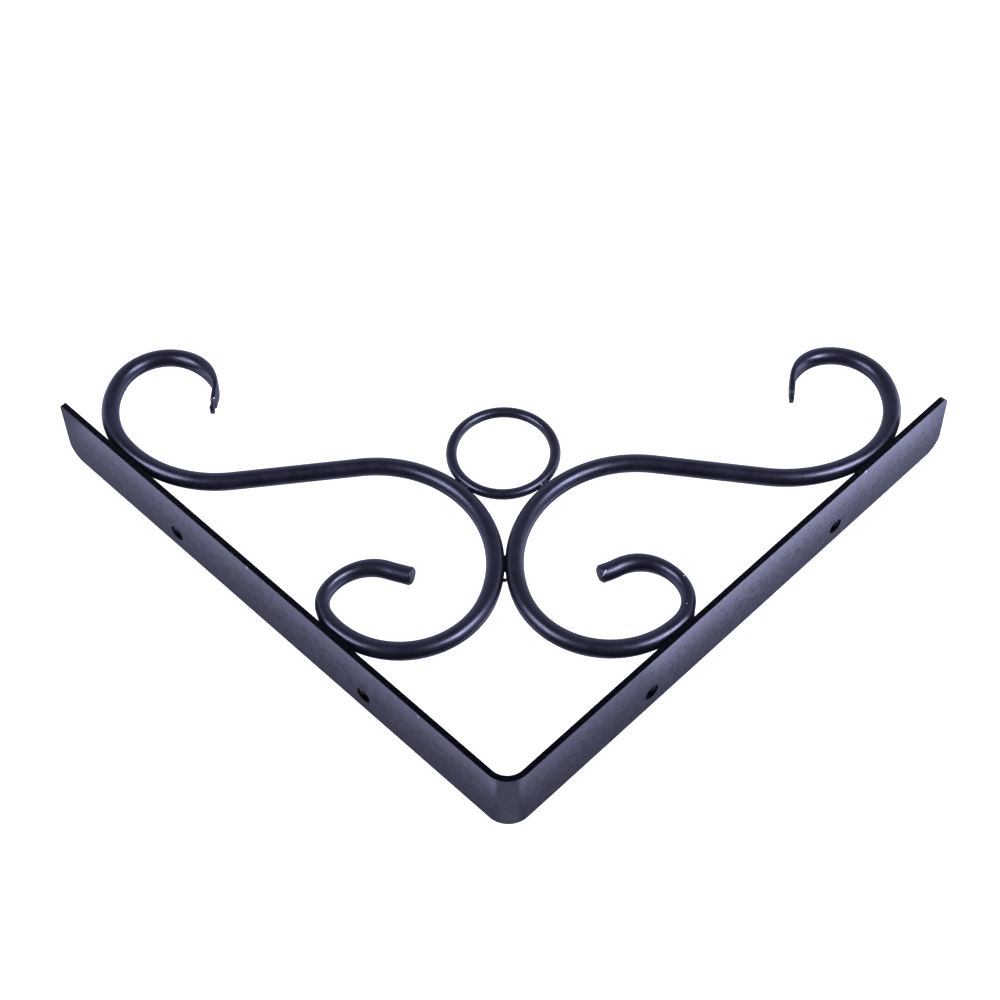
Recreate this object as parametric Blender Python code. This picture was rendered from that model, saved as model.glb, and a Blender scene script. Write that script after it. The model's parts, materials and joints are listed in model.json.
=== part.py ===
"""Scrolled steel shelf bracket: a bent flat bar, two S-scrolls of round rod and a ring between them.

Metres, +Z up. The wall arm's back lies in the plane x = 0, the shelf arm runs along +X at the top, and the
origin is on the wall face, about midway between the wall arm's two screw holes. The bracket's own plane is XZ.
The scrolls are laid out in a plan view turned by 45 degrees: there the bar's outer corner is at (0, 0), the
two arms run up at 45 degrees to either side, and the line u = 0 halves the bar. The shelf side is u < 0.
"""
import math

import bmesh
import bpy
from mathutils import Vector

MM = 0.001
HALF_TURN = math.pi

# Flat bar
SHELF_ARM_LENGTH = 201.5 * MM
WALL_ARM_LENGTH = 199.5 * MM
SHELF_Z = 104 * MM
BAR_WIDTH = 25 * MM
BAR_THICKNESS = 2 * MM
BEND_OUTER_RADIUS = 8 * MM
SHELF_ARM_NEAR_CORNER_RADIUS = 1.2 * MM
WALL_ARM_NEAR_CORNER_RADIUS = 3 * MM
FAR_CORNER_RADIUS = 6 * MM
HOLE_RADIUS = 2.65 * MM
SHELF_HOLES = (61 * MM, 147 * MM)
WALL_HOLES = (61 * MM, 146.2 * MM)
HOLE_Y = 5 * MM
CUTTER_DEPTH = 8 * MM
SAME_PLACE = 0.02 * MM
BEND_STEPS = 8
CORNER_STEPS = 6
HOLE_SIDES = 24

# Rods, and the gap kept where two pieces are welded
SCROLL_RADIUS = 2.75 * MM
RING_ROD_RADIUS = 1.5 * MM
RING_RADIUS = 16.4 * MM
SCROLL_Y = -8.5 * MM
WELD_GAP = 0.3 * MM
SCROLL_SIDES = 16
RING_SIDES = 12
RING_STEPS = 48
STEP_ANGLE = math.radians(10)
STRAIGHT_STEP = 4 * MM

# The point where the two scrolls touch, in the plan view, and the ring's place off the middle line
TOUCH_U = -0.4 * MM
TOUCH_HEIGHT = 81.2 * MM
RING_U = -0.7 * MM
# Each bend is its radius and its sweep in degrees, positive to the left as the rod runs; a straight
# stretch has a length in place of a radius and no sweep. All lists start where the scrolls touch.
BELLY_RADIUS_MM = 37.9
SHELF_UPPER_BENDS = ((BELLY_RADIUS_MM, 96.8), (40.3, 0), (39.1, -61), (25.5, -58.8), (16.5, -139.3),
                     (10.7, -23.1), (6.5, 0))
SHELF_LOWER_BENDS = ((BELLY_RADIUS_MM, -20.7), (27.5, -126), (9.4, -61), (15.5, -84.1), (26, 3.9), (5.9, 0))
WALL_UPPER_BENDS = ((BELLY_RADIUS_MM, 99), (35.3, 0), (43.9, -39.2), (26.8, -79.1), (17.3, -80),
                    (12.4, -74.7), (6.9, 0))
WALL_LOWER_BENDS = ((BELLY_RADIUS_MM, -19), (28.1, -120), (11.8, -58.9), (14.6, -101.8), (25.9, 7.9),
                    (2.5, 0))

# Flattened tip of each outer curl: half sizes in the bracket's plane and across it
TIP_HALF_THICKNESS = 1.0 * MM
TIP_HALF_WIDTH = 3.9 * MM
TIP_THINNING_START = 24 * MM
TIP_THINNING_END = 8 * MM
TIP_WIDENING_START = 20 * MM
TIP_WIDENING_END = 9 * MM
TIP_END_HALF_WIDTH = 2.9 * MM
TIP_ROUNDING = 1.5 * MM
TIP_ROUNDING_DEPTH = 0.75 * MM
CUT_CHAMFER = 0.7 * MM
# The rod is squeezed thinner where it is bent tightest, in the inner curl, by moving its outer side in
SQUEEZE = 1.2 * MM
SQUEEZE_START = 10 * MM
SQUEEZE_FULL = 26 * MM
SQUEEZE_EASING = 38 * MM
SQUEEZE_END = 44 * MM

PAINT_COLOUR = (0.022, 0.021, 0.032, 1.0)
PAINT_ROUGHNESS = 0.38


def clear_scene():
    for item in list(bpy.data.objects):
        bpy.data.objects.remove(item, do_unlink=True)


def paint(name):
    material = bpy.data.materials.new(name)
    material.use_nodes = True
    shader = material.node_tree.nodes["Principled BSDF"]
    shader.inputs["Base Color"].default_value = PAINT_COLOUR
    shader.inputs["Roughness"].default_value = PAINT_ROUGHNESS
    shader.inputs["Metallic"].default_value = 0.0
    material.diffuse_color = PAINT_COLOUR
    return material


def add_object(name, mesh_builder, smooth=False):
    bmesh.ops.recalc_face_normals(mesh_builder, faces=mesh_builder.faces)
    mesh = bpy.data.meshes.new(name)
    mesh_builder.to_mesh(mesh)
    mesh_builder.free()
    if smooth:
        mesh.polygons.foreach_set("use_smooth", [True] * len(mesh.polygons))
    item = bpy.data.objects.new(name, mesh)
    bpy.context.scene.collection.objects.link(item)
    mesh.materials.append(paint(name + "_paint"))
    return item


def plan_to_bracket(u, v):
    """The turned plan view's point, on the bracket's plane at y = 0."""
    diagonal = math.sqrt(0.5)
    return Vector(((v - u) * diagonal, 0.0, SHELF_Z - (u + v) * diagonal))


def quarter_arc(centre_x, centre_z, radius, first_angle, last_angle):
    """Points of the bend in the XZ plane, both ends included."""
    points = []
    for i in range(BEND_STEPS + 1):
        angle = first_angle + (last_angle - first_angle) * i / BEND_STEPS
        points.append((centre_x + radius * math.cos(angle), centre_z + radius * math.sin(angle)))
    return points


def bar_profile():
    """The bent strip seen from its edge, as a closed outline in XZ."""
    centre_x = BEND_OUTER_RADIUS
    centre_z = SHELF_Z - BEND_OUTER_RADIUS
    inner_radius = BEND_OUTER_RADIUS - BAR_THICKNESS
    outer = quarter_arc(centre_x, centre_z, BEND_OUTER_RADIUS, HALF_TURN, HALF_TURN / 2)
    inner = quarter_arc(centre_x, centre_z, inner_radius, HALF_TURN / 2, HALF_TURN)
    wall_end = SHELF_Z - WALL_ARM_LENGTH
    shelf_end = [(SHELF_ARM_LENGTH, SHELF_Z), (SHELF_ARM_LENGTH, SHELF_Z - BAR_THICKNESS)]
    return [(0.0, wall_end)] + outer + shelf_end + inner + [(BAR_THICKNESS, wall_end)]


def is_end_corner(edge, side_y, on_wall_arm):
    """True for the short edge through the strip at one arm's end, on one of its two long sides."""
    on_side = all(abs(vert.co.y - side_y) < SAME_PLACE for vert in edge.verts)
    at_wall_end = all(abs(vert.co.z - (SHELF_Z - WALL_ARM_LENGTH)) < SAME_PLACE for vert in edge.verts)
    at_shelf_end = all(abs(vert.co.x - SHELF_ARM_LENGTH) < SAME_PLACE for vert in edge.verts)
    return on_side and (at_wall_end if on_wall_arm else at_shelf_end)


def round_end_corners(mesh_builder):
    """Round the corners of both arms' ends: slightly on the scrolls' side, well on the far side."""
    near = -BAR_WIDTH / 2
    far = BAR_WIDTH / 2
    corners = ((near, False, SHELF_ARM_NEAR_CORNER_RADIUS), (near, True, WALL_ARM_NEAR_CORNER_RADIUS),
               (far, False, FAR_CORNER_RADIUS), (far, True, FAR_CORNER_RADIUS))
    for side_y, on_wall_arm, radius in corners:
        corner_edges = [edge for edge in mesh_builder.edges if is_end_corner(edge, side_y, on_wall_arm)]
        bmesh.ops.bevel(mesh_builder, geom=corner_edges, offset=radius, offset_type="OFFSET",
                        segments=CORNER_STEPS, profile=0.5, affect="EDGES")


def hole_cutter(name, centre, along_x):
    """A cylinder across one arm. It only cuts, so it is hidden from renders."""
    mesh_builder = bmesh.new()
    bmesh.ops.create_cone(mesh_builder, cap_ends=True, segments=HOLE_SIDES, radius1=HOLE_RADIUS,
                          radius2=HOLE_RADIUS, depth=CUTTER_DEPTH)
    mesh = bpy.data.meshes.new(name)
    mesh_builder.to_mesh(mesh)
    mesh_builder.free()
    cutter = bpy.data.objects.new(name, mesh)
    bpy.context.scene.collection.objects.link(cutter)
    cutter.location = centre
    if along_x:
        cutter.rotation_euler = (0.0, HALF_TURN / 2, 0.0)
    cutter.hide_render = True
    cutter.display_type = "WIRE"
    return cutter


def make_bar():
    mesh_builder = bmesh.new()
    verts = [mesh_builder.verts.new((x, -BAR_WIDTH / 2, z)) for x, z in bar_profile()]
    side = mesh_builder.faces.new(verts)
    sweep = bmesh.ops.extrude_face_region(mesh_builder, geom=[side])
    moved = [item for item in sweep["geom"] if isinstance(item, bmesh.types.BMVert)]
    bmesh.ops.translate(mesh_builder, verts=moved, vec=(0.0, BAR_WIDTH, 0.0))
    round_end_corners(mesh_builder)
    bar = add_object("bent_flat_bar", mesh_builder)
    cutters = []
    for i, distance in enumerate(SHELF_HOLES):
        centre = (distance, HOLE_Y, SHELF_Z - BAR_THICKNESS / 2)
        cutters.append(hole_cutter(f"cutter_shelf_{i}", centre, False))
    for i, distance in enumerate(WALL_HOLES):
        centre = (BAR_THICKNESS / 2, HOLE_Y, SHELF_Z - distance)
        cutters.append(hole_cutter(f"cutter_wall_{i}", centre, True))
    for cutter in cutters:
        modifier = bar.modifiers.new(cutter.name, "BOOLEAN")
        modifier.operation = "DIFFERENCE"
        modifier.solver = "EXACT"
        modifier.object = cutter
    return bar


def follow_bends(start, heading, bends):
    """Stations (u, v, heading, distance) along a rod that starts at a point with a heading."""
    u, v = start
    distance = 0.0
    stations = [(u, v, heading, distance)]
    for size_mm, sweep_degrees in bends:
        size = size_mm * MM
        sweep = math.radians(sweep_degrees)
        length = size * abs(sweep) if sweep_degrees else size
        count = math.ceil(abs(sweep) / STEP_ANGLE) if sweep_degrees else math.ceil(size / STRAIGHT_STEP)
        for _ in range(count):
            half_turned = heading + sweep / count / 2
            chord = 2 * size * math.sin(abs(sweep) / count / 2) if sweep_degrees else size / count
            u += chord * math.cos(half_turned)
            v += chord * math.sin(half_turned)
            heading += sweep / count
            distance += length / count
            stations.append((u, v, heading, distance))
    return stations


def ease(value, start, end):
    """0 at start, 1 at end, smooth between."""
    share = min(max((value - start) / (end - start), 0.0), 1.0)
    return share * share * (3 - 2 * share)


def outer_section(to_tip):
    """Half sizes of the rod at a distance from the outer curl's flattened tip."""
    thinning = ease(to_tip, TIP_THINNING_START, TIP_THINNING_END)
    widening = ease(to_tip, TIP_WIDENING_START, TIP_WIDENING_END)
    narrowing = ease(to_tip, TIP_WIDENING_END, TIP_ROUNDING)
    half_thickness = SCROLL_RADIUS + (TIP_HALF_THICKNESS - SCROLL_RADIUS) * thinning
    half_width = SCROLL_RADIUS + (TIP_HALF_WIDTH - SCROLL_RADIUS) * widening
    half_width -= (TIP_HALF_WIDTH - TIP_END_HALF_WIDTH) * narrowing
    if to_tip < TIP_ROUNDING:
        half_width -= TIP_ROUNDING_DEPTH * (1 - to_tip / TIP_ROUNDING)
    return half_thickness, half_width


def squeeze(to_cut):
    """How far the inner curl's outer side is moved in, at a distance from the cut end."""
    return SQUEEZE * ease(to_cut, SQUEEZE_START, SQUEEZE_FULL) * ease(to_cut, SQUEEZE_END, SQUEEZE_EASING)


def inner_section(to_cut):
    """Half sizes of the rod at a distance from the inner curl's cut end."""
    half = SCROLL_RADIUS - max(CUT_CHAMFER - to_cut, 0.0)
    return half - squeeze(to_cut) / 2, half


def rod_section(mesh_builder, station, half_sizes, sides):
    """One closed ring of vertices round the rod's centre line."""
    u, v, heading, _ = station
    half_thickness, half_width = half_sizes
    ring = []
    for i in range(sides):
        angle = 2 * HALF_TURN * i / sides
        across = half_thickness * math.cos(angle)
        point = plan_to_bracket(u - across * math.sin(heading), v + across * math.cos(heading))
        point.y = SCROLL_Y + half_width * math.sin(angle)
        ring.append(mesh_builder.verts.new(point))
    return ring


def skin(mesh_builder, rings, closed):
    """Faces between neighbouring rings, with a cap at each end of an open row."""
    count = len(rings)
    for i in range(count if closed else count - 1):
        first, second = rings[i], rings[(i + 1) % count]
        for k in range(len(first)):
            following = (k + 1) % len(first)
            mesh_builder.faces.new((first[k], first[following], second[following], second[k]))
    if not closed:
        mesh_builder.faces.new(rings[0])
        mesh_builder.faces.new(rings[-1])


def add_end_stations(stations, offsets):
    """Insert stations on the last, straight stretch, at distances from its end."""
    u, v, heading, length = stations[-1]
    extra = []
    for offset in offsets:
        place = (u - offset * math.cos(heading), v - offset * math.sin(heading), heading, length - offset)
        extra.append(place)
    return sorted(stations + extra, key=lambda station: station[3])


def make_scroll(name, upper_bends, lower_bends, mirrored):
    """One S-scroll, laid out on the shelf side and mirrored for the wall side."""
    touch_u = -TOUCH_U if mirrored else TOUCH_U
    start = (touch_u - SCROLL_RADIUS - WELD_GAP / 2, TOUCH_HEIGHT)
    upper = follow_bends(start, HALF_TURN / 2, upper_bends)
    lower = follow_bends(start, -HALF_TURN / 2, lower_bends)
    upper = add_end_stations(upper, (TIP_ROUNDING, TIP_ROUNDING / 2))
    lower = add_end_stations(lower, (CUT_CHAMFER,))
    rows = []
    for station in reversed(lower[1:]):
        u, v, heading, distance = station
        to_cut = lower[-1][3] - distance
        inward = squeeze(to_cut) / 2
        moved_u = u + inward * math.sin(heading)
        moved_v = v - inward * math.cos(heading)
        turned = (moved_u, moved_v, heading + HALF_TURN, distance)
        rows.append((turned, inner_section(to_cut)))
    for station in upper:
        rows.append((station, outer_section(upper[-1][3] - station[3])))
    mesh_builder = bmesh.new()
    rings = []
    for (u, v, heading, distance), half_sizes in rows:
        if mirrored:
            u, heading = -u, HALF_TURN - heading
        rings.append(rod_section(mesh_builder, (u, v, heading, distance), half_sizes, SCROLL_SIDES))
    skin(mesh_builder, rings, closed=False)
    return add_object(name, mesh_builder, smooth=True)


def make_ring():
    """The ring rests in the hollow above the place where the scrolls touch, against the shelf scroll."""
    belly_radius = BELLY_RADIUS_MM * MM
    belly_centre_u = TOUCH_U - SCROLL_RADIUS - WELD_GAP / 2 - belly_radius
    reach = belly_radius + SCROLL_RADIUS + WELD_GAP + RING_ROD_RADIUS + RING_RADIUS
    centre_v = TOUCH_HEIGHT + math.sqrt(reach ** 2 - (RING_U - belly_centre_u) ** 2)
    mesh_builder = bmesh.new()
    rings = []
    for i in range(RING_STEPS):
        heading = 2 * HALF_TURN * i / RING_STEPS
        place_u = RING_U + RING_RADIUS * math.sin(heading)
        place_v = centre_v - RING_RADIUS * math.cos(heading)
        station = (place_u, place_v, heading, 0.0)
        half_sizes = (RING_ROD_RADIUS, RING_ROD_RADIUS)
        rings.append(rod_section(mesh_builder, station, half_sizes, RING_SIDES))
    skin(mesh_builder, rings, closed=True)
    return add_object("centre_ring", mesh_builder, smooth=True)


def main():
    clear_scene()
    make_bar()
    make_scroll("shelf_scroll", SHELF_UPPER_BENDS, SHELF_LOWER_BENDS, mirrored=False)
    make_scroll("wall_scroll", WALL_UPPER_BENDS, WALL_LOWER_BENDS, mirrored=True)
    make_ring()


main()
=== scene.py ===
"""Looks of the scrolled shelf bracket: black satin powder coat on a bent bar, two S-scrolls and a ring.

Everything is in metres in the part's own frame. The wall arm's back lies in the plane x = 0, the shelf arm
runs along +X at the top, and the bracket's own plane is XZ. The scrolls are laid out in a plan view turned by
45 degrees: the bar's outer corner is at (0, 0), and the line u = 0 halves the bar. The shelf side is u < 0.
"""
import json
import math

import bmesh
import bpy
from mathutils import Matrix, Vector, noise

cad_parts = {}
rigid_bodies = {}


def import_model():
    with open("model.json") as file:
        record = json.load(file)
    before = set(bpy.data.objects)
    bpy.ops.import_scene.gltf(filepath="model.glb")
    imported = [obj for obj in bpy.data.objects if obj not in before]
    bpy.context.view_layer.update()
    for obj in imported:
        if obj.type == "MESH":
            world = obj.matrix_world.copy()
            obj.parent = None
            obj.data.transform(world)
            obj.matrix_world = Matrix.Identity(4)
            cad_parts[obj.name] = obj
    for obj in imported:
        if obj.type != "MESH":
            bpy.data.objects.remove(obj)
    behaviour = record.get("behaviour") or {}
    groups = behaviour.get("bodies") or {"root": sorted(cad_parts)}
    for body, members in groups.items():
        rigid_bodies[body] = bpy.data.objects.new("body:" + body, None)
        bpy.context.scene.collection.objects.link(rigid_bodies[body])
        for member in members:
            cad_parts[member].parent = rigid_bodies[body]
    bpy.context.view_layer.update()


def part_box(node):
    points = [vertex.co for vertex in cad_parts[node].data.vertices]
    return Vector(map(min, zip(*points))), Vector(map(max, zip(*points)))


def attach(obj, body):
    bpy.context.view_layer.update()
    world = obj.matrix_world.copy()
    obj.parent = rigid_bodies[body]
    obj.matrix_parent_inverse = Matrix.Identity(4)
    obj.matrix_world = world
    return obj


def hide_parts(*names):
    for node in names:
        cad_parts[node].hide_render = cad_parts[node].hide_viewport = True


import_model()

MM = 0.001
HALF_TURN = math.pi
DIAGONAL = math.sqrt(0.5)

# The bar, from the frame
BAR_LOW, BAR_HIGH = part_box("bent_flat_bar")
SHELF_Z = BAR_HIGH.z
BAR_WIDTH = BAR_HIGH.y - BAR_LOW.y
SHELF_ARM_LENGTH = BAR_HIGH.x
WALL_ARM_LENGTH = BAR_HIGH.z - BAR_LOW.z
BAR_THICKNESS = 2 * MM
BEND_OUTER_RADIUS = 8 * MM
SHELF_ARM_NEAR_CORNER_RADIUS = 1.2 * MM
WALL_ARM_NEAR_CORNER_RADIUS = 3 * MM
FAR_CORNER_RADIUS = 6 * MM
HOLE_RADIUS = 2.65 * MM
SHELF_HOLES = (61 * MM, 147 * MM)
WALL_HOLES = (61 * MM, 146.2 * MM)
HOLE_Y = 5 * MM
EDGE_RADIUS = 0.42 * MM
EDGE_STEPS = 3
SHARP_ANGLE = math.radians(35)
CUTTER_DEPTH = 8 * MM
SAME_PLACE = 0.02 * MM
BEND_STEPS = 24
CORNER_STEPS = 12
HOLE_SIDES = 48

# The rods, from the frame
RING_LOW, RING_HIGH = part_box("centre_ring")
RING_CENTRE = (RING_LOW + RING_HIGH) / 2
RING_SOLID_ROD_RADIUS = (RING_HIGH.y - RING_LOW.y) / 2
RING_RADIUS = (RING_HIGH.x - RING_LOW.x) / 2 - RING_SOLID_ROD_RADIUS
SCROLL_Y = RING_CENTRE.y
SCROLL_SOLID_RADIUS = 2.75 * MM
# The solids keep a gap where the rods are welded, so the visible rods are a little thicker and nearly meet
RING_ROD_RADIUS = RING_SOLID_ROD_RADIUS + 0.2 * MM
SCROLL_RADIUS = SCROLL_SOLID_RADIUS + 0.14 * MM
WELD_GAP = 0.3 * MM
TOUCH_U = -0.4 * MM
TOUCH_HEIGHT = 81.2 * MM
SCROLL_SIDES = 40
RING_SIDES = 32
RING_STEPS = 160
STEP_ANGLE = math.radians(3)
STRAIGHT_STEP = 1 * MM

# Each bend is its radius in millimetres and its sweep in degrees, positive to the left as the rod runs. A
# straight stretch has a length in place of a radius and no sweep. All lists start where the scrolls touch.
BELLY_RADIUS_MM = 37.9
SHELF_UPPER_BENDS = ((BELLY_RADIUS_MM, 96.8), (40.3, 0), (39.1, -61), (25.5, -58.8), (16.5, -139.3),
                     (10.7, -23.1), (6.5, 0))
SHELF_LOWER_BENDS = ((BELLY_RADIUS_MM, -20.7), (27.5, -126), (9.4, -61), (15.5, -84.1), (26, 3.9), (5.9, 0))
WALL_UPPER_BENDS = ((BELLY_RADIUS_MM, 99), (35.3, 0), (43.9, -39.2), (26.8, -79.1), (17.3, -80),
                    (12.4, -74.7), (6.9, 0))
WALL_LOWER_BENDS = ((BELLY_RADIUS_MM, -19), (28.1, -120), (11.8, -58.9), (14.6, -101.8), (25.9, 7.9),
                    (2.5, 0))

# The flattened tip of each outer curl, with a neck and a small foot at its very end. The starts and ends
# are distances from the end. The rod's section is a superellipse, round where its squareness is 2.
ROUND = 2.0
TIP_HALF_THICKNESS = 1.0 * MM
TIP_HALF_WIDTH = 3.9 * MM
TIP_THINNING_START = 24 * MM
TIP_THINNING_END = 8 * MM
TIP_WIDENING_START = 20 * MM
TIP_WIDENING_END = 9 * MM
TIP_END_HALF_WIDTH = 2.6 * MM
TIP_SQUARENESS = 4.0
TIP_NECK = 1.9 * MM
TIP_NECK_LENGTH = 1.2 * MM
SHELF_NECK_SHARE = 0.55
WALL_NECK_SHARE = 0.1
NECK_WIDTH_SHARE = 0.4
FOOT_THINNING = 0.22
FOOT_NARROWING = 0.25
TIP_STEP = 0.13 * MM
TIP_STEPS = 29
# The cut end of each inner curl, and the stretch before it where the rod is bent tightest and squeezed
# thinner, by moving its outer side in. The distances run from the cut end.
CUT_CHAMFER = 0.7 * MM
CHAMFER_STEPS = 4
SQUEEZE = 1.2 * MM
SQUEEZE_START = 10 * MM
SQUEEZE_FULL = 26 * MM
SQUEEZE_EASING = 38 * MM
SQUEEZE_END = 44 * MM

# Weld beads: half their length, half their width across the gap and half their depth
SCROLL_BEAD = (2.9 * MM, 0.3 * MM, 0.7 * MM)
DRIP_BEAD = (0.45 * MM, 0.75 * MM, 0.6 * MM)
DRIP_ASIDE = 0.15 * MM
DRIP_DROP = 6.1 * MM
RING_BEAD = (1.9 * MM, 0.35 * MM, 1.2 * MM)
BAR_BEAD = (3.2 * MM, 0.35 * MM, 1.1 * MM)
# Where the scrolls touch the bar, as x and z in millimetres
BAR_CONTACTS = ((78.1, 101.84), (172.3, 101.82), (2.2, 24.7), (2.2, -62.0))
BEAD_DETAIL = 4
LUMP_HEIGHT = 0.2
LUMP_SCALE = 2.3
RIPPLE_HEIGHT = 0.08
RIPPLE_SCALE = 6.1

# Paint
PAINT_IOR = 1.53
PAINT_BASE = (0.0030, 0.0030, 0.0055, 1.0)
PAINT_DUSTY = (0.0065, 0.0065, 0.011, 1.0)
PAINT_TINT = (0.71, 0.72, 1.0, 1.0)
CHIP_COLOUR = (0.55, 0.55, 0.60, 1.0)
# Painted shade: near-black for the screw holes' walls, and mixed with noise for the strip's long edges
PAINTED_SHADE_COLOUR = (0.0008, 0.0008, 0.0012, 1.0)
# Chips in the paint, each a place and a radius in millimetres
BAR_CHIPS = (((110.9, -11.9, 104.0), 0.5), ((36.4, -11.1, 104.0), 0.4), ((0.0, -12.1, -54.2), 0.6),
             ((152.6, -11.6, 104.0), 0.35), ((0.0, -11.9, 12.0), 0.3))
ROD_CHIPS = (((74.3, -11.0, 69.4), 0.3), ((73.9, -10.6, 69.4), 0.3), ((73.7, -10.2, 69.4), 0.26),
             ((59.4, -10.7, 47.2), 0.2), ((168.9, -11.2, 67.1), 0.4), ((16.6, -11.1, 13.8), 0.28),
             ((14.6, -11.0, 13.7), 0.26), ((7.0, -11.2, 20.8), 0.22), ((32.4, -10.3, 30.6), 0.26),
             ((32.3, -10.7, 30.1), 0.26), ((32.4, -11.0, 29.5), 0.28), ((32.6, -11.2, 28.9), 0.28),
             ((39.2, -9.3, -64.0), 0.4), ((70.4, -9.3, 18.0), 0.35))
# Chips and the holes' painted shade are spheres in which the paint changes. The shade's spheres centre on
# the outer ends of the screw holes and paint the holes' walls dark, but for a light patch at the far end.
CHIP_SOFTNESS = 0.6
HOLE_SHADE_RADIUS_MM = 2.82
HOLE_SHADE_SOFTNESS = 0.97
PAINT_SPECULAR = 0.5
DULL_SPECULAR = 0.08
PEEL_HEIGHT = 0.06 * MM
NIB_SHARE = 0.35
TEAR_HEIGHT = 0.16 * MM
RAGGED_REACH = 0.7 * MM


def plan_to_bracket(u, v):
    """The turned plan view's point, on the bracket's plane at y = 0."""
    return Vector(((v - u) * DIAGONAL, 0.0, SHELF_Z - (u + v) * DIAGONAL))


def finish_piece(name, mesh_builder, material):
    """Turn a mesh into a named piece that rides on the part's one body."""
    bmesh.ops.recalc_face_normals(mesh_builder, faces=mesh_builder.faces)
    mesh = bpy.data.meshes.new(name)
    mesh_builder.to_mesh(mesh)
    mesh_builder.free()
    mesh.polygons.foreach_set("use_smooth", [True] * len(mesh.polygons))
    mesh.materials.append(material)
    piece = bpy.data.objects.new(name, mesh)
    bpy.context.scene.collection.objects.link(piece)
    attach(piece, "root")
    return piece


# Materials
def link(tree, source, target):
    tree.links.new(source, target)


def add_node(tree, kind, **settings):
    """A node with its inputs or properties set by name; a linked input is given as an output socket."""
    node = tree.nodes.new(kind)
    for key, value in settings.items():
        if hasattr(node, key):
            setattr(node, key, value)
            continue
        socket = node.inputs[key.replace("_", " ")]
        if isinstance(value, bpy.types.NodeSocket):
            tree.links.new(value, socket)
        else:
            socket.default_value = value
    return node


def smooth_step(tree, value, start, end, low, high):
    """A node that eases from low to high while a value goes from start to end."""
    step = add_node(tree, "ShaderNodeMapRange", interpolation_type="SMOOTHSTEP",
                    From_Min=start, From_Max=end, To_Min=low, To_Max=high)
    link(tree, value, step.inputs["Value"])
    return step.outputs["Result"]


def combine(tree, operation, first, second):
    """One value worked out from two."""
    node = add_node(tree, "ShaderNodeMath", operation=operation)
    link(tree, first, node.inputs[0])
    link(tree, second, node.inputs[1])
    return node.outputs["Value"]


def spot_mask(tree, coordinates, spots, softness):
    """1 inside spheres given in millimetres, 0 outside; it rises from the rim to a share of the radius."""
    total = None
    for place, radius in spots:
        gap = add_node(tree, "ShaderNodeVectorMath", operation="DISTANCE")
        link(tree, coordinates, gap.inputs[0])
        gap.inputs[1].default_value = Vector(place) * MM
        inside = add_node(tree, "ShaderNodeMapRange", From_Min=radius * MM, From_Max=radius * softness * MM,
                          To_Min=0.0, To_Max=1.0)
        link(tree, gap.outputs["Value"], inside.inputs["Value"])
        mask = inside.outputs["Result"]
        total = mask if total is None else combine(tree, "MAXIMUM", total, mask)
    return total


def ragged(tree, coordinates):
    """The coordinates pushed about a little, so that a spot's outline is torn."""
    noise_node = add_node(tree, "ShaderNodeTexNoise", Vector=coordinates, Scale=1600.0, Detail=2.0)
    centred = add_node(tree, "ShaderNodeVectorMath", operation="SUBTRACT")
    link(tree, noise_node.outputs["Color"], centred.inputs[0])
    centred.inputs[1].default_value = (0.5, 0.5, 0.5)
    scaled = add_node(tree, "ShaderNodeVectorMath", operation="SCALE", Scale=RAGGED_REACH)
    link(tree, centred.outputs["Vector"], scaled.inputs[0])
    moved = add_node(tree, "ShaderNodeVectorMath", operation="ADD")
    link(tree, coordinates, moved.inputs[0])
    link(tree, scaled.outputs["Vector"], moved.inputs[1])
    return moved.outputs["Vector"]


def mix_colour(tree, factor, first, second):
    """A colour between two; each of the three may be a value or an output socket."""
    node = add_node(tree, "ShaderNodeMix", data_type="RGBA")
    for key, value in (("Factor", factor), ("A", first), ("B", second)):
        if isinstance(value, bpy.types.NodeSocket):
            link(tree, value, node.inputs[key])
        else:
            node.inputs[key].default_value = value
    return node.outputs["Result"]


def noise_value(tree, coordinates, scale, detail, low, high, to_low=0.0, to_high=1.0):
    """Noise stretched between two limits."""
    source = add_node(tree, "ShaderNodeTexNoise", Vector=coordinates, Scale=scale, Detail=detail,
                      Roughness=0.6)
    return smooth_step(tree, source.outputs["Fac"], low, high, to_low, to_high)


def orange_peel(tree, place, grain):
    """The powder coat's fine relief, with smaller nibs on it."""
    peel = add_node(tree, "ShaderNodeTexNoise", Vector=place, Scale=900.0, Detail=2.0, Roughness=0.5)
    nibs = add_node(tree, "ShaderNodeTexNoise", Vector=place, Scale=3200.0, Detail=1.0, Roughness=0.5)
    relief = add_node(tree, "ShaderNodeMath", operation="MULTIPLY_ADD")
    link(tree, nibs.outputs["Fac"], relief.inputs[0])
    relief.inputs[1].default_value = NIB_SHARE
    link(tree, peel.outputs["Fac"], relief.inputs[2])
    bump = add_node(tree, "ShaderNodeBump", Strength=0.5 * grain, Distance=PEEL_HEIGHT)
    link(tree, relief.outputs["Value"], bump.inputs["Height"])
    return bump.outputs["Normal"]


def sheared_edge_and_shade(tree, normal):
    """1 on the two long edges and the rounding towards the far one, 0 on the faces: the mask of painted
    shade.
    """
    parts = add_node(tree, "ShaderNodeSeparateXYZ")
    link(tree, normal, parts.inputs[0])
    sideways = add_node(tree, "ShaderNodeMath", operation="ABSOLUTE")
    link(tree, parts.outputs["Y"], sideways.inputs[0])
    edge = smooth_step(tree, sideways.outputs["Value"], start=0.8, end=0.97, low=0.0, high=1.0)
    # Painted shade on the rounding towards the far long edge
    far_rim_shade = smooth_step(tree, parts.outputs["Y"], start=0.05, end=0.4, low=0.0, high=1.0)
    return combine(tree, "MAXIMUM", edge, far_rim_shade)


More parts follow.
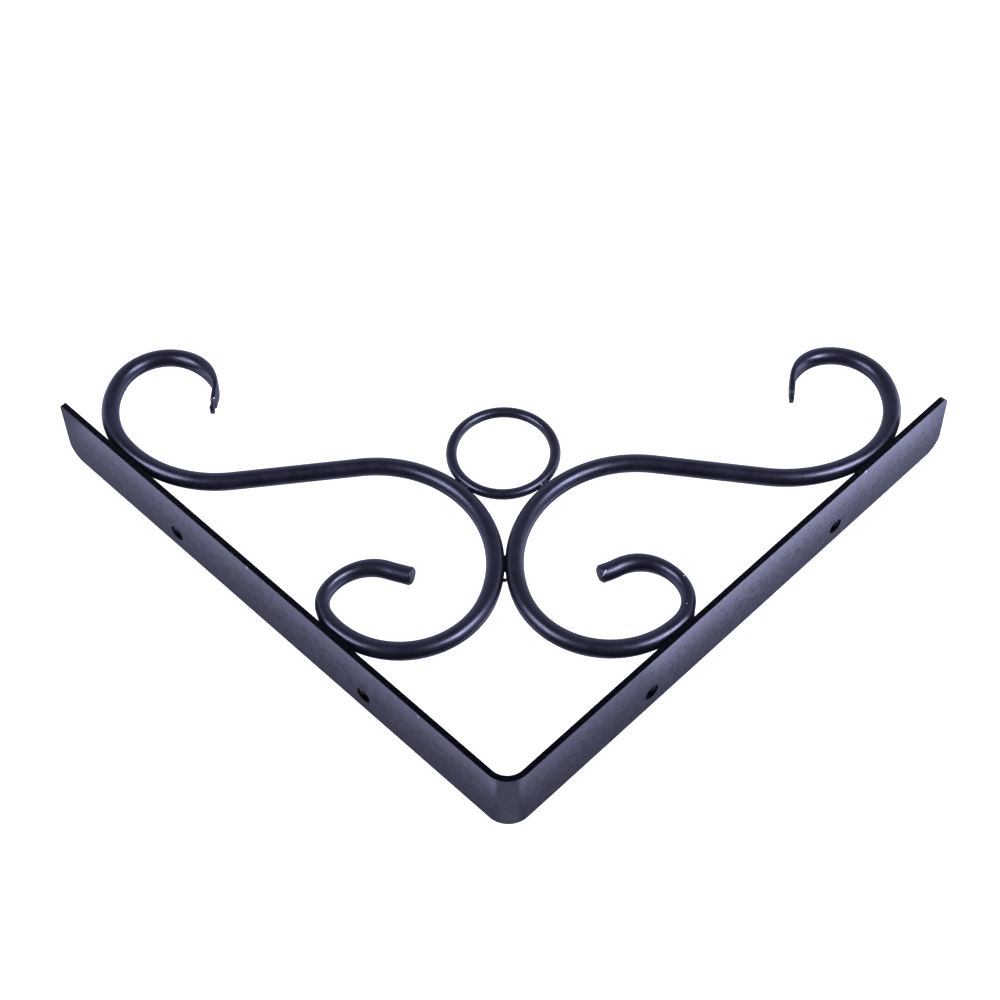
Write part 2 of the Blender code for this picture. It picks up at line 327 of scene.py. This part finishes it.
def tear_and_shade(tree, place, edge, colour, surface):
    """Colour and surface with dark pits torn into the sheared edges, which are also darkened as painted
    shade.
    """
    pits = noise_value(tree, place, scale=700.0, detail=5.0, low=0.32, high=0.62)
    # Painted shade with torn pits: the edges' colour runs between near-black and the plain base
    pits_and_shade = mix_colour(tree, pits, PAINTED_SHADE_COLOUR, PAINT_BASE)
    torn = add_node(tree, "ShaderNodeBump", Distance=TEAR_HEIGHT)
    link(tree, edge, torn.inputs["Strength"])
    link(tree, pits, torn.inputs["Height"])
    link(tree, surface, torn.inputs["Normal"])
    return mix_colour(tree, edge, colour, pits_and_shade), torn.outputs["Normal"]


def powder_coat(name, chips=(), hole_shade_centres=(), roughness=(0.30, 0.44), grain=1.0):
    """Black satin powder coat: fine orange peel, uneven gloss, a faint dust bloom and a few chips.

    Only the strip is given hole shade centres, at its screw holes, and with them it has sheared edges;
    both are darkened with painted shade.
    """
    material = bpy.data.materials.new(name)
    material.use_nodes = True
    tree = material.node_tree
    shader = tree.nodes["Principled BSDF"]
    shader.inputs["IOR"].default_value = PAINT_IOR
    shader.inputs["Specular Tint"].default_value = PAINT_TINT
    texture = add_node(tree, "ShaderNodeTexCoord")
    place = texture.outputs["Object"]

    bloom = noise_value(tree, place, scale=90.0, detail=4.0, low=0.35, high=0.75)
    colour = mix_colour(tree, bloom, PAINT_BASE, PAINT_DUSTY)
    rough = noise_value(tree, place, 420.0, 3.0, 0.3, 0.7, *roughness)
    surface = orange_peel(tree, place, grain)
    if hole_shade_centres:
        # Painted shade and torn pits on the strip's long edges
        edge = sheared_edge_and_shade(tree, texture.outputs["Normal"])
        colour, surface = tear_and_shade(tree, place, edge, colour, surface)
        # Painted shade in the screw holes: their walls turn near-black
        spots = [(hole_shade_centre, HOLE_SHADE_RADIUS_MM) for hole_shade_centre in hole_shade_centres]
        inside = spot_mask(tree, place, spots, HOLE_SHADE_SOFTNESS)
        colour = mix_colour(tree, inside, colour, PAINTED_SHADE_COLOUR)
        # Gloss is dulled where shade is painted, on the long edges and in the holes
        shade_and_dull = combine(tree, "MAXIMUM", edge, inside)
        gleam = add_node(tree, "ShaderNodeMapRange", To_Min=PAINT_SPECULAR, To_Max=DULL_SPECULAR)
        link(tree, shade_and_dull, gleam.inputs["Value"])
        link(tree, gleam.outputs["Result"], shader.inputs["Specular IOR Level"])
    if chips:
        chipped = spot_mask(tree, ragged(tree, place), chips, CHIP_SOFTNESS)
        colour = mix_colour(tree, chipped, colour, CHIP_COLOUR)

    link(tree, colour, shader.inputs["Base Color"])
    link(tree, rough, shader.inputs["Roughness"])
    link(tree, surface, shader.inputs["Normal"])
    return material


# The bar
def arc(centre_x, centre_z, radius, first_angle, last_angle):
    """Points of an arc in XZ, from one angle to the other."""
    points = []
    for i in range(BEND_STEPS + 1):
        angle = first_angle + (last_angle - first_angle) * i / BEND_STEPS
        points.append((centre_x + radius * math.cos(angle), centre_z + radius * math.sin(angle)))
    return points


def bar_profile():
    """The bent strip seen from its edge, as a closed outline in XZ."""
    centre_x = BEND_OUTER_RADIUS
    centre_z = SHELF_Z - BEND_OUTER_RADIUS
    inner_radius = BEND_OUTER_RADIUS - BAR_THICKNESS
    outer = arc(centre_x, centre_z, BEND_OUTER_RADIUS, HALF_TURN, HALF_TURN / 2)
    inner = arc(centre_x, centre_z, inner_radius, HALF_TURN / 2, HALF_TURN)
    wall_end = SHELF_Z - WALL_ARM_LENGTH
    shelf_end = [(SHELF_ARM_LENGTH, SHELF_Z), (SHELF_ARM_LENGTH, SHELF_Z - BAR_THICKNESS)]
    return [(0.0, wall_end)] + outer + shelf_end + inner + [(BAR_THICKNESS, wall_end)]


def is_end_corner(edge, side_y, on_wall_arm):
    """True for the short edge through the strip at one arm's end, on one of its two long sides."""
    on_side = all(abs(vert.co.y - side_y) < SAME_PLACE for vert in edge.verts)
    at_wall_end = all(abs(vert.co.z - (SHELF_Z - WALL_ARM_LENGTH)) < SAME_PLACE for vert in edge.verts)
    at_shelf_end = all(abs(vert.co.x - SHELF_ARM_LENGTH) < SAME_PLACE for vert in edge.verts)
    return on_side and (at_wall_end if on_wall_arm else at_shelf_end)


def round_end_corners(mesh_builder):
    """Round the corners of both arms' ends: slightly on the scrolls' side, well on the far side."""
    near = -BAR_WIDTH / 2
    far = BAR_WIDTH / 2
    corners = ((near, False, SHELF_ARM_NEAR_CORNER_RADIUS), (near, True, WALL_ARM_NEAR_CORNER_RADIUS),
               (far, False, FAR_CORNER_RADIUS), (far, True, FAR_CORNER_RADIUS))
    for side_y, on_wall_arm, radius in corners:
        corner_edges = [edge for edge in mesh_builder.edges if is_end_corner(edge, side_y, on_wall_arm)]
        bmesh.ops.bevel(mesh_builder, geom=corner_edges, offset=radius, offset_type="OFFSET",
                        segments=CORNER_STEPS, profile=0.5, affect="EDGES")


def cut_holes(piece):
    """Bore the four screw holes, round the sharp edges and leave no cutter behind."""
    half = BAR_THICKNESS / 2
    places = [((distance, HOLE_Y, SHELF_Z - half), (0.0, 0.0, 0.0)) for distance in SHELF_HOLES]
    places += [((half, HOLE_Y, SHELF_Z - distance), (0.0, HALF_TURN / 2, 0.0)) for distance in WALL_HOLES]
    cutters = []
    for centre, turn in places:
        mesh_builder = bmesh.new()
        bmesh.ops.create_cone(mesh_builder, cap_ends=True, segments=HOLE_SIDES, radius1=HOLE_RADIUS,
                              radius2=HOLE_RADIUS, depth=CUTTER_DEPTH)
        mesh = bpy.data.meshes.new("cutter")
        mesh_builder.to_mesh(mesh)
        mesh_builder.free()
        cutter = bpy.data.objects.new("cutter", mesh)
        bpy.context.scene.collection.objects.link(cutter)
        cutter.location = centre
        cutter.rotation_euler = turn
        modifier = piece.modifiers.new("hole", "BOOLEAN")
        modifier.operation = "DIFFERENCE"
        modifier.solver = "EXACT"
        modifier.object = cutter
        cutters.append(cutter)
    bevel = piece.modifiers.new("edges", "BEVEL")
    bevel.width = EDGE_RADIUS
    bevel.segments = EDGE_STEPS
    bevel.limit_method = "ANGLE"
    bevel.angle_limit = SHARP_ANGLE
    bevel.harden_normals = True
    depsgraph = bpy.context.evaluated_depsgraph_get()
    cut = bpy.data.meshes.new_from_object(piece.evaluated_get(depsgraph))
    piece.modifiers.clear()
    piece.data = cut
    for cutter in cutters:
        bpy.data.objects.remove(cutter, do_unlink=True)


def make_bar(material):
    """The bent strip, with rounded end corners and its screw holes."""
    mesh_builder = bmesh.new()
    verts = [mesh_builder.verts.new((x, -BAR_WIDTH / 2, z)) for x, z in bar_profile()]
    side = mesh_builder.faces.new(verts)
    sweep = bmesh.ops.extrude_face_region(mesh_builder, geom=[side])
    moved = [item for item in sweep["geom"] if isinstance(item, bmesh.types.BMVert)]
    bmesh.ops.translate(mesh_builder, verts=moved, vec=(0.0, BAR_WIDTH, 0.0))
    round_end_corners(mesh_builder)
    piece = finish_piece("painted_bar", mesh_builder, material)
    cut_holes(piece)
    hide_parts("bent_flat_bar")
    return piece


# The rods
def follow_bends(start, heading, bends):
    """Stations (u, v, heading, distance) along a rod that starts at a point with a heading."""
    u, v = start
    distance = 0.0
    stations = [(u, v, heading, distance)]
    for size_mm, sweep_degrees in bends:
        size = size_mm * MM
        sweep = math.radians(sweep_degrees)
        length = size * abs(sweep) if sweep_degrees else size
        count = math.ceil(abs(sweep) / STEP_ANGLE) if sweep_degrees else math.ceil(size / STRAIGHT_STEP)
        for _ in range(count):
            half_turned = heading + sweep / count / 2
            chord = 2 * size * math.sin(abs(sweep) / count / 2) if sweep_degrees else size / count
            u += chord * math.cos(half_turned)
            v += chord * math.sin(half_turned)
            heading += sweep / count
            distance += length / count
            stations.append((u, v, heading, distance))
    return stations


def ease(value, start, end):
    """0 at start, 1 at end, smooth between."""
    share = min(max((value - start) / (end - start), 0.0), 1.0)
    return share * share * (3 - 2 * share)


def outer_section(to_tip, neck_share):
    """Half sizes and squareness of the rod at a distance from the outer curl's flattened tip."""
    thinning = ease(to_tip, TIP_THINNING_START, TIP_THINNING_END)
    widening = ease(to_tip, TIP_WIDENING_START, TIP_WIDENING_END)
    narrowing = ease(to_tip, TIP_WIDENING_END, TIP_NECK)
    half_thickness = SCROLL_RADIUS + (TIP_HALF_THICKNESS - SCROLL_RADIUS) * thinning
    half_width = SCROLL_RADIUS + (TIP_HALF_WIDTH - SCROLL_RADIUS) * widening
    half_width -= (TIP_HALF_WIDTH - TIP_END_HALF_WIDTH) * narrowing
    neck = ease(abs(to_tip - TIP_NECK), TIP_NECK_LENGTH, 0.0)
    half_thickness *= 1 - neck_share * neck
    half_width *= 1 - NECK_WIDTH_SHARE * neck_share * neck
    past_neck = ease(to_tip, TIP_NECK, TIP_NECK / 2)
    half_thickness *= 1 - FOOT_THINNING * past_neck
    half_width *= 1 - FOOT_NARROWING * past_neck
    return half_thickness, half_width, ROUND + (TIP_SQUARENESS - ROUND) * thinning


def squeeze(to_cut):
    """How far the inner curl's outer side is moved in, at a distance from the cut end."""
    return SQUEEZE * ease(to_cut, SQUEEZE_START, SQUEEZE_FULL) * ease(to_cut, SQUEEZE_END, SQUEEZE_EASING)


def inner_section(to_cut):
    """Half sizes and squareness of the rod at a distance from the inner curl's cut end."""
    half = SCROLL_RADIUS - max(CUT_CHAMFER - to_cut, 0.0)
    return half - squeeze(to_cut) / 2, half, ROUND


def rounded(value, squareness):
    """One coordinate of a superellipse from a cosine or a sine."""
    return math.copysign(abs(value) ** (2 / squareness), value)


def rod_section(mesh_builder, station, section, sides):
    """One closed ring of vertices round the rod's centre line."""
    u, v, heading, _ = station
    half_thickness, half_width, squareness = section
    ring = []
    for i in range(sides):
        angle = 2 * HALF_TURN * i / sides
        across = half_thickness * rounded(math.cos(angle), squareness)
        point = plan_to_bracket(u - across * math.sin(heading), v + across * math.cos(heading))
        point.y = SCROLL_Y + half_width * rounded(math.sin(angle), squareness)
        ring.append(mesh_builder.verts.new(point))
    return ring


def skin(mesh_builder, rings, closed):
    """Faces between neighbouring rings, with a cap at each end of an open row."""
    count = len(rings)
    for i in range(count if closed else count - 1):
        first, second = rings[i], rings[(i + 1) % count]
        for k in range(len(first)):
            following = (k + 1) % len(first)
            mesh_builder.faces.new((first[k], first[following], second[following], second[k]))
    if not closed:
        mesh_builder.faces.new(rings[0])
        mesh_builder.faces.new(rings[-1])


def add_end_stations(stations, offsets):
    """Insert stations on the last, straight stretch, at distances from its end."""
    u, v, heading, length = stations[-1]
    extra = []
    for offset in offsets:
        place = (u - offset * math.cos(heading), v - offset * math.sin(heading), heading, length - offset)
        extra.append(place)
    return sorted(stations + extra, key=lambda station: station[3])


def make_scroll(name, node, upper_bends, lower_bends, mirrored, material):
    """One S-scroll, laid out on the shelf side and mirrored for the wall side."""
    touch_u = -TOUCH_U if mirrored else TOUCH_U
    start = (touch_u - SCROLL_SOLID_RADIUS - WELD_GAP / 2, TOUCH_HEIGHT)
    upper = follow_bends(start, HALF_TURN / 2, upper_bends)
    lower = follow_bends(start, -HALF_TURN / 2, lower_bends)
    upper = add_end_stations(upper, [TIP_STEP * k for k in range(1, TIP_STEPS + 1)])
    lower = add_end_stations(lower, [CUT_CHAMFER * k / CHAMFER_STEPS for k in range(1, CHAMFER_STEPS + 1)])
    rows = []
    for station in reversed(lower[1:]):
        u, v, heading, distance = station
        to_cut = lower[-1][3] - distance
        inward = squeeze(to_cut) / 2
        moved_u = u + inward * math.sin(heading)
        moved_v = v - inward * math.cos(heading)
        turned = (moved_u, moved_v, heading + HALF_TURN, distance)
        rows.append((turned, inner_section(to_cut)))
    neck_share = WALL_NECK_SHARE if mirrored else SHELF_NECK_SHARE
    for station in upper:
        rows.append((station, outer_section(upper[-1][3] - station[3], neck_share)))
    mesh_builder = bmesh.new()
    rings = []
    for (u, v, heading, distance), section in rows:
        if mirrored:
            u, heading = -u, HALF_TURN - heading
        rings.append(rod_section(mesh_builder, (u, v, heading, distance), section, SCROLL_SIDES))
    skin(mesh_builder, rings, closed=False)
    piece = finish_piece(name, mesh_builder, material)
    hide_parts(node)
    return piece


def make_ring(material):
    """The ring, around the centre that the frame gives."""
    mesh_builder = bmesh.new()
    rings = []
    for i in range(RING_STEPS):
        turn = 2 * HALF_TURN * i / RING_STEPS
        ring = []
        for k in range(RING_SIDES):
            angle = 2 * HALF_TURN * k / RING_SIDES
            reach = RING_RADIUS + RING_ROD_RADIUS * math.cos(angle)
            depth = RING_ROD_RADIUS * math.sin(angle)
            point = Vector((reach * math.cos(turn), depth, reach * math.sin(turn)))
            ring.append(mesh_builder.verts.new(RING_CENTRE + point))
        rings.append(ring)
    skin(mesh_builder, rings, closed=True)
    piece = finish_piece("painted_ring", mesh_builder, material)
    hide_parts("centre_ring")
    return piece


# Weld beads
def make_bead(name, centre, half_sizes, heading, material, seed):
    """A small lump of weld: uneven, with blunt ends, and long along its heading in the bracket's plane."""
    mesh_builder = bmesh.new()
    bmesh.ops.create_icosphere(mesh_builder, subdivisions=BEAD_DETAIL, radius=1.0)
    along = plan_to_bracket(math.cos(heading), math.sin(heading)) - plan_to_bracket(0, 0)
    across = Vector((along.z, 0.0, -along.x))
    half_length, half_across, half_depth = half_sizes
    for vert in mesh_builder.verts:
        direction = vert.co.copy()
        blunt = (direction.x ** 4 + (1 - direction.x ** 2) ** 2) ** -0.25
        swell = blunt + LUMP_HEIGHT * noise.noise(direction * LUMP_SCALE + Vector((seed, 0, 0)))
        swell += RIPPLE_HEIGHT * noise.noise(direction * RIPPLE_SCALE + Vector((0, seed, 0)))
        vert.co = centre + swell * (along * direction.x * half_length + across * direction.z * half_across
                                    + Vector((0, direction.y * half_depth, 0)))
    return finish_piece(name, mesh_builder, material)


def bead_place(u, v):
    """A point of the plan view, at the rods' height."""
    place = plan_to_bracket(u, v)
    place.y = SCROLL_Y
    return place


def make_beads(material):
    """Beads where the scrolls, the ring and the bar meet."""
    upright = HALF_TURN / 2
    touch = bead_place(TOUCH_U, TOUCH_HEIGHT)
    drip = bead_place(TOUCH_U - DRIP_ASIDE, TOUCH_HEIGHT - DRIP_DROP)
    make_bead("weld_scrolls", touch, SCROLL_BEAD, upright, material, 1.0)
    make_bead("weld_scrolls_drip", drip, DRIP_BEAD, upright, material, 2.0)
    ring_u = (RING_CENTRE.z - SHELF_Z + RING_CENTRE.x) * -DIAGONAL
    ring_v = (RING_CENTRE.x + SHELF_Z - RING_CENTRE.z) * DIAGONAL
    belly_offset = SCROLL_SOLID_RADIUS + WELD_GAP / 2 + BELLY_RADIUS_MM * MM
    for side, slot, name in ((-1, "shelf_scroll_paint", "shelf"), (1, "wall_scroll_paint", "wall")):
        to_belly = Vector((TOUCH_U + side * belly_offset - ring_u, TOUCH_HEIGHT - ring_v))
        gap = to_belly.length - BELLY_RADIUS_MM * MM - SCROLL_RADIUS - RING_ROD_RADIUS - RING_RADIUS
        reach = RING_RADIUS + RING_ROD_RADIUS + gap / 2
        direction = to_belly.normalized()
        heading = math.atan2(direction.y, direction.x) + HALF_TURN / 2
        centre = bead_place(ring_u + reach * direction.x, ring_v + reach * direction.y)
        half_sizes = (RING_BEAD[0], RING_BEAD[1] + gap / 2, RING_BEAD[2])
        make_bead("weld_ring_" + name, centre, half_sizes, heading, material, 3.0 + side)
    for k, (x_mm, z_mm) in enumerate(BAR_CONTACTS):
        centre = Vector((x_mm * MM, SCROLL_Y, z_mm * MM))
        upright_arm = x_mm < BEND_OUTER_RADIUS / MM
        heading = HALF_TURN / 4 if upright_arm else HALF_TURN * 3 / 4
        slot = "wall_scroll_paint" if upright_arm else "shelf_scroll_paint"
        make_bead(f"weld_bar_{k}", centre, BAR_BEAD, heading, material, 7.0 + k)


# Floor, world, lights and camera
CAMERA_LENS = 80.58
CAMERA_SENSOR = 36
CAMERA_REACH = 100
CAMERA_PLACE = Vector((-0.22311, -0.56594, 0.31908))
CAMERA_AIM = Vector((0.07577, -0.0085, 0.03079))
CAMERA_ROLL = math.radians(-0.26)
CARD_Y = BAR_HIGH.y + 10 * MM
CARD_OFFSET = 15 * MM
CARD_REACH = 250 * MM
CARD_CORNER_GAP = 6 * MM
CARD_WALL_END = 75 * MM
CARD_COLOUR = (0.68, 0.69, 1.0)
SHELF_CARD_RADIANCE = 2.15
WALL_CARD_RADIANCE = 1.95
WALL_END_CARD_RADIANCE = 2.3
SOFTBOX_DISTANCE = 0.9
SOFTBOX_SIZE = (0.36, 0.5)
SOFTBOX_COLOUR = (0.84, 0.84, 1.0)
RIGHT_SOFTBOX_RADIANCE = 22.5
LEFT_SOFTBOX_RADIANCE = 14.5
ROOM_COLOUR = (0.70, 0.71, 1.0, 1.0)
ROOM_BEHIND = 0.28
ROOM_IN_FRONT = 0.24
CEILING_LIGHT = 0.75
RIGHT_SIDE_LIGHT = 2.45
LEFT_SIDE_LIGHT = 1.45
BACKDROP_LIGHT = 0.65
FLOOR_SHARE = 0.4
FLOOR_COLOUR = (0.85, 0.85, 0.85, 1)
FLOOR_DROP = 1.0
FLOOR_SIZE = 40.0


def plan_direction(u, v, w):
    """A direction of the plan view, w pointing out of the bracket towards the camera."""
    return Vector(((v - u) * DIAGONAL, -w, -(u + v) * DIAGONAL)).normalized()


def aim(item, target, up):
    """Turn an item so that its -Z looks at a target, with its +Y towards up."""
    back = (item.location - target).normalized()
    right = up.cross(back).normalized()
    top = back.cross(right)
    item.rotation_euler = Matrix((right, top, back)).transposed().to_euler()


def add_area_light(name, size, radiance, colour):
    """A rectangular light that the camera doesn't see; its power gives it the radiance."""
    data = bpy.data.lights.new(name, "AREA")
    data.shape = "RECTANGLE"
    data.size, data.size_y = size
    data.energy = radiance * HALF_TURN * data.size * data.size_y
    data.color = colour
    item = bpy.data.objects.new(name, data)
    bpy.context.scene.collection.objects.link(item)
    item.visible_camera = False
    return item


def add_softbox(name, direction, radiance, lit):
    """A light that faces the bracket from a distance and lights one collection."""
    item = add_area_light(name, SOFTBOX_SIZE, radiance, SOFTBOX_COLOUR)
    item.location = RING_CENTRE + direction * SOFTBOX_DISTANCE
    item.light_linking.receiver_collection = lit
    aim(item, RING_CENTRE, plan_direction(0, 1, 0.01))


def add_card(name, low, high, radiance):
    """A light close behind the bracket, facing it, that fills a rectangle of the plane y = CARD_Y."""
    item = add_area_light(name, (high[0] - low[0], high[1] - low[1]), radiance, CARD_COLOUR)
    item.location = ((low[0] + high[0]) / 2, CARD_Y, (low[1] + high[1]) / 2)
    item.rotation_euler = (-HALF_TURN / 2, 0, 0)


def make_floor():
    """A white floor, far below, that only the camera sees."""
    mesh = bpy.data.meshes.new("floor")
    half = FLOOR_SIZE / 2
    corners = [(-half, -half, 0), (half, -half, 0), (half, half, 0), (-half, half, 0)]
    mesh.from_pydata(corners, [], [(0, 1, 2, 3)])
    floor = bpy.data.objects.new("floor", mesh)
    bpy.context.scene.collection.objects.link(floor)
    floor.location = (0, 0, BAR_LOW.z - FLOOR_DROP)
    material = bpy.data.materials.new("floor_white")
    material.use_nodes = True
    shader = material.node_tree.nodes["Principled BSDF"]
    shader.inputs["Base Color"].default_value = FLOOR_COLOUR
    shader.inputs["Roughness"].default_value = 0.9
    shader.inputs["Emission Color"].default_value = (1, 1, 1, 1)
    shader.inputs["Emission Strength"].default_value = 1.0
    mesh.materials.append(material)
    floor.visible_glossy = False
    floor.visible_diffuse = False
    floor.visible_shadow = False


def make_world():
    """White to the eye. The bracket sees a soft room: pale ceiling, sides and backdrop over a dark floor."""
    world = bpy.data.worlds.new("studio")
    bpy.context.scene.world = world
    world.use_nodes = True
    tree = world.node_tree
    tree.nodes.clear()
    direction = add_node(tree, "ShaderNodeTexCoord").outputs["Generated"]

    def along(axis):
        dot = add_node(tree, "ShaderNodeVectorMath", operation="DOT_PRODUCT")
        link(tree, direction, dot.inputs[0])
        dot.inputs[1].default_value = axis
        return dot.outputs["Value"]

    to_wall_side = along(plan_direction(1, 0, 0))
    upward = along(plan_direction(0, 1, 0))
    outward = along(plan_direction(0, 0, 1))
    room = smooth_step(tree, outward, -0.2, 0.2, ROOM_BEHIND, ROOM_IN_FRONT)
    ceiling = smooth_step(tree, upward, 0.4, 0.95, 0.0, CEILING_LIGHT)
    right = smooth_step(tree, to_wall_side, 0.54, 0.92, 0.0, RIGHT_SIDE_LIGHT)
    left = smooth_step(tree, to_wall_side, -0.54, -0.92, 0.0, LEFT_SIDE_LIGHT)
    behind = smooth_step(tree, outward, 0.5, -0.1, 0.4, 1.0)
    sides = combine(tree, "MULTIPLY", combine(tree, "ADD", right, left), behind)
    total = combine(tree, "ADD", combine(tree, "ADD", room, ceiling), sides)
    total = combine(tree, "MULTIPLY", total, smooth_step(tree, upward, -1.0, -0.7, FLOOR_SHARE, 1.0))
    off_middle = combine(tree, "MULTIPLY", to_wall_side, to_wall_side)
    backdrop = smooth_step(tree, off_middle, 0.18, 0.05, 0.0, BACKDROP_LIGHT)
    backdrop = combine(tree, "MULTIPLY", backdrop, smooth_step(tree, outward, -0.55, -0.8, 0.0, 1.0))
    backdrop = combine(tree, "MULTIPLY", backdrop, smooth_step(tree, upward, 0.35, 0.05, 0.0, 1.0))
    total = combine(tree, "ADD", total, backdrop)

    rays = add_node(tree, "ShaderNodeLightPath")
    soft = add_node(tree, "ShaderNodeBackground", Color=ROOM_COLOUR)
    link(tree, total, soft.inputs["Strength"])
    white = add_node(tree, "ShaderNodeBackground", Color=(1, 1, 1, 1), Strength=1.0)
    mixed = add_node(tree, "ShaderNodeMixShader")
    link(tree, rays.outputs["Is Camera Ray"], mixed.inputs[0])
    link(tree, soft.outputs[0], mixed.inputs[1])
    link(tree, white.outputs[0], mixed.inputs[2])
    output = add_node(tree, "ShaderNodeOutputWorld")
    link(tree, mixed.outputs[0], output.inputs["Surface"])


def make_camera():
    data = bpy.data.cameras.new("camera")
    data.lens = CAMERA_LENS
    data.sensor_width = CAMERA_SENSOR
    data.clip_end = CAMERA_REACH
    item = bpy.data.objects.new("camera", data)
    bpy.context.scene.collection.objects.link(item)
    item.location = CAMERA_PLACE
    aim(item, CAMERA_AIM, plan_direction(0, 1, 0))
    item.rotation_euler = (item.rotation_euler.to_matrix() @ Matrix.Rotation(CAMERA_ROLL, 3, "Z")).to_euler()
    bpy.context.scene.camera = item


def make_lights():
    """Two softboxes, which light the rods, the ring and the beads, and cards that the bar's faces mirror."""
    rods = bpy.data.collections.new("rods")
    for item in bpy.context.scene.collection.objects:
        if item.name.startswith(("painted_", "weld_")) and item.name != "painted_bar":
            rods.objects.link(item)
    add_softbox("softbox_right", plan_direction(0.60, -0.29, 0.75), RIGHT_SOFTBOX_RADIANCE, rods)
    add_softbox("softbox_left", plan_direction(-0.68, -0.27, 0.68), LEFT_SOFTBOX_RADIANCE, rods)
    wall_end = SHELF_Z - WALL_ARM_LENGTH
    add_card("card_shelf", (CARD_CORNER_GAP, SHELF_Z + CARD_OFFSET),
             (SHELF_ARM_LENGTH + CARD_OFFSET, SHELF_Z + CARD_REACH), SHELF_CARD_RADIANCE)
    add_card("card_wall", (-CARD_REACH, wall_end - CARD_OFFSET),
             (-CARD_OFFSET, SHELF_Z - CARD_CORNER_GAP), WALL_CARD_RADIANCE)
    add_card("card_wall_end", (-CARD_REACH, wall_end - CARD_REACH),
             (-CARD_OFFSET, SHELF_Z - CARD_WALL_END), WALL_END_CARD_RADIANCE)


def main():
    """Paints, pieces, surroundings and camera, in this order."""
    # Centres of the painted shade in the screw holes, in millimetres
    hole_shade_centres = [Vector((distance, HOLE_Y, SHELF_Z)) / MM for distance in SHELF_HOLES]
    hole_shade_centres += [Vector((0.0, HOLE_Y, SHELF_Z - distance)) / MM for distance in WALL_HOLES]
    bar_paint = powder_coat("bar_paint", BAR_CHIPS, hole_shade_centres, roughness=(0.24, 0.36))
    rod_paint = powder_coat("rod_paint", ROD_CHIPS, roughness=(0.25, 0.33), grain=0.4)
    bead_paint = powder_coat("bead_paint", roughness=(0.3, 0.5), grain=1.5)
    make_bar(bar_paint)
    make_scroll("painted_shelf_scroll", "shelf_scroll", SHELF_UPPER_BENDS, SHELF_LOWER_BENDS, False,
                rod_paint)
    make_scroll("painted_wall_scroll", "wall_scroll", WALL_UPPER_BENDS, WALL_LOWER_BENDS, True, rod_paint)
    make_ring(rod_paint)
    make_beads(bead_paint)
    make_floor()
    make_world()
    make_lights()
    make_camera()
    bpy.context.scene.view_settings.view_transform = "Standard"


main()
